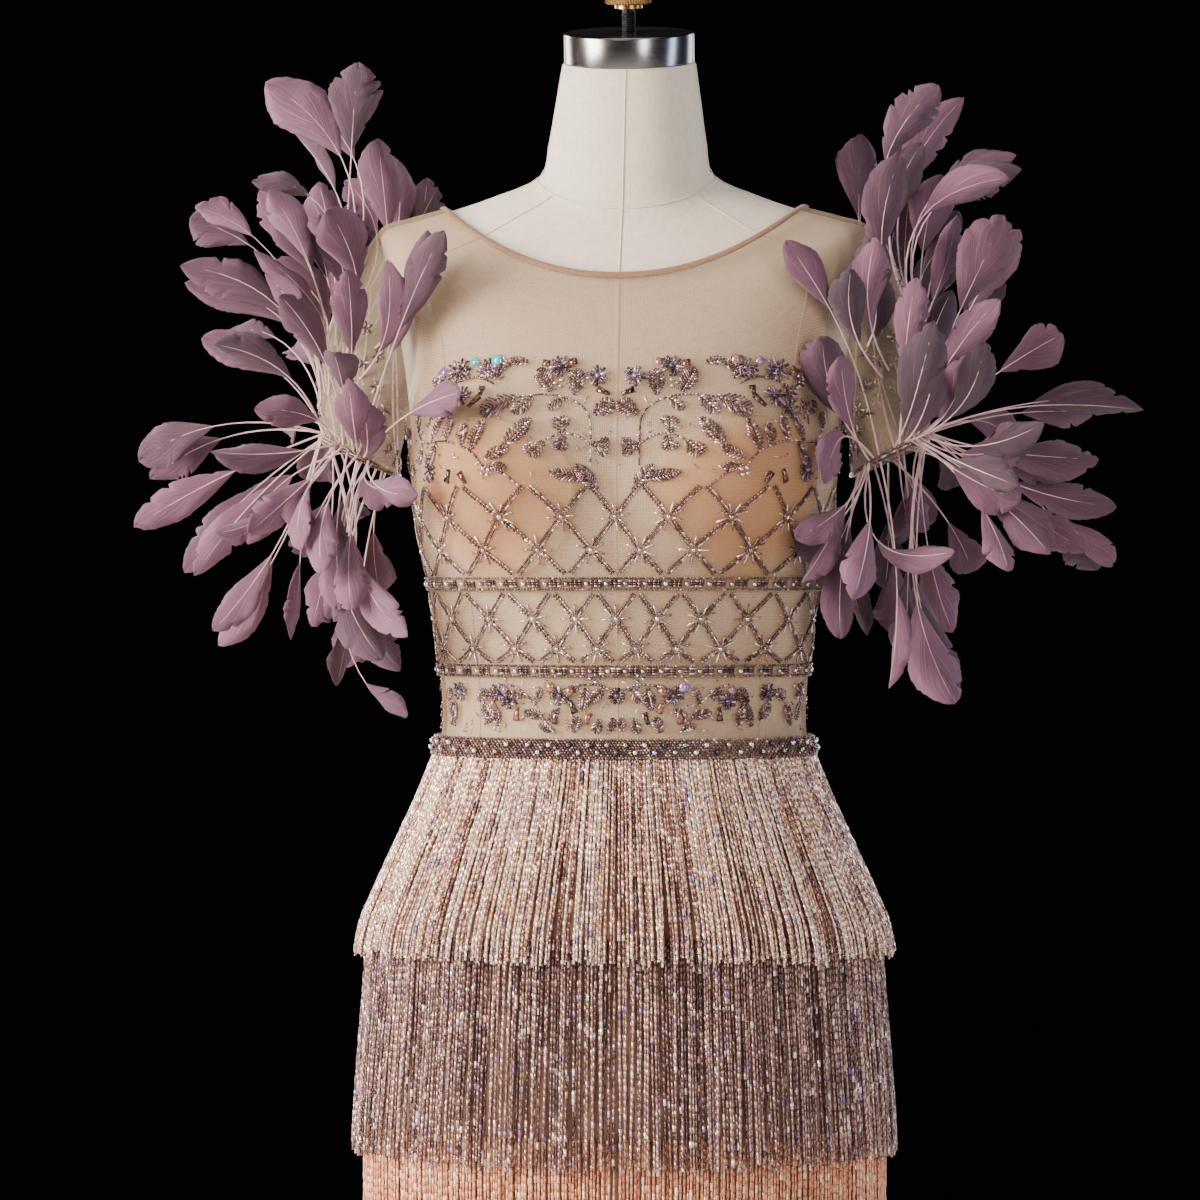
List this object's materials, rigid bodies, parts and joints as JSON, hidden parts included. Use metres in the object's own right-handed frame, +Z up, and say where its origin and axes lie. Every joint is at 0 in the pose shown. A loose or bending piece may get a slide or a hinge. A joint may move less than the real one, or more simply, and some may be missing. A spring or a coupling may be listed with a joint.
{
  "type": "cocktail dress on a dress form",
  "caption": "Short cocktail dress with a beaded sheer bodice, feathered cap sleeves and tiers of beaded fringe, worn by a limbless dress form on a round stand.",
  "frame": {"origin": "centre of the stand base's underside, on the floor under the pole", "axes": "+Z up, -Y is the front of the dress, +X is the wearer's left"},
  "size_m": [0.7643, 0.4, 1.5691],
  "materials": {
    "form_cloth": "fine unbleached linen drawn smooth over the form",
    "steel": "brushed along the rim",
    "brass": "satin with a knurled rim",
    "iron": "semi-gloss black",
    "net": "sheer nude net",
    "cup": "smooth moulded tricot",
    "beading": "dense glass bugle beads and crystals",
    "feather": "soft dyed feather vanes on bare quills",
    "skirt": "smooth crepe",
    "fringe_silver": "strands of silver-lined bugle beads",
    "fringe_mauve": "strands of mauve bugle beads",
    "fringe_peach": "strands of peach bugle beads",
    "zip": "woven zip tape with fine closed teeth"
  },
  "bodies": {
    "dress_and_form": {"form_body": "form_cloth", "neck_cap": "steel", "neck_screw": "iron", "stand_pole": "iron", "stand_hub": "iron", "stand_base": "iron", "bodice_front": "net", "bodice_back_left": "net", "bodice_back_right": "net", "neck_binding": "skirt", "cup_left": "cup", "cup_right": "cup", "under_bust_band": "beading", "midriff_band": "beading", "waistband": "beading", "zip_strip": "zip", "zip_slider": "steel", "sleeve_left": "net", "sleeve_right": "net", "feathers_left": "feather", "feathers_right": "feather", "skirt_front": "skirt", "skirt_back": "skirt", "fringe_upper": "fringe_silver", "fringe_middle": "fringe_mauve", "fringe_lower": "fringe_peach"},
    "knob": {"neck_knob": "brass"},
    "zip_pull": {"zip_tab": "steel"}
  },
  "joints": [
    {"name": "knob_turn", "type": "hinge", "parent": "dress_and_form", "child": "knob", "pos_m": [0.005, -0.022, 1.517], "axis": [0, -0.225, 0.9744], "continuous": true},
    {"name": "zip_pull_swing", "type": "hinge", "parent": "dress_and_form", "child": "zip_pull", "pos_m": [0, 0.09245, 1.39402], "axis": [1, 0, 0], "range_deg": [0, 150]}
  ]
}
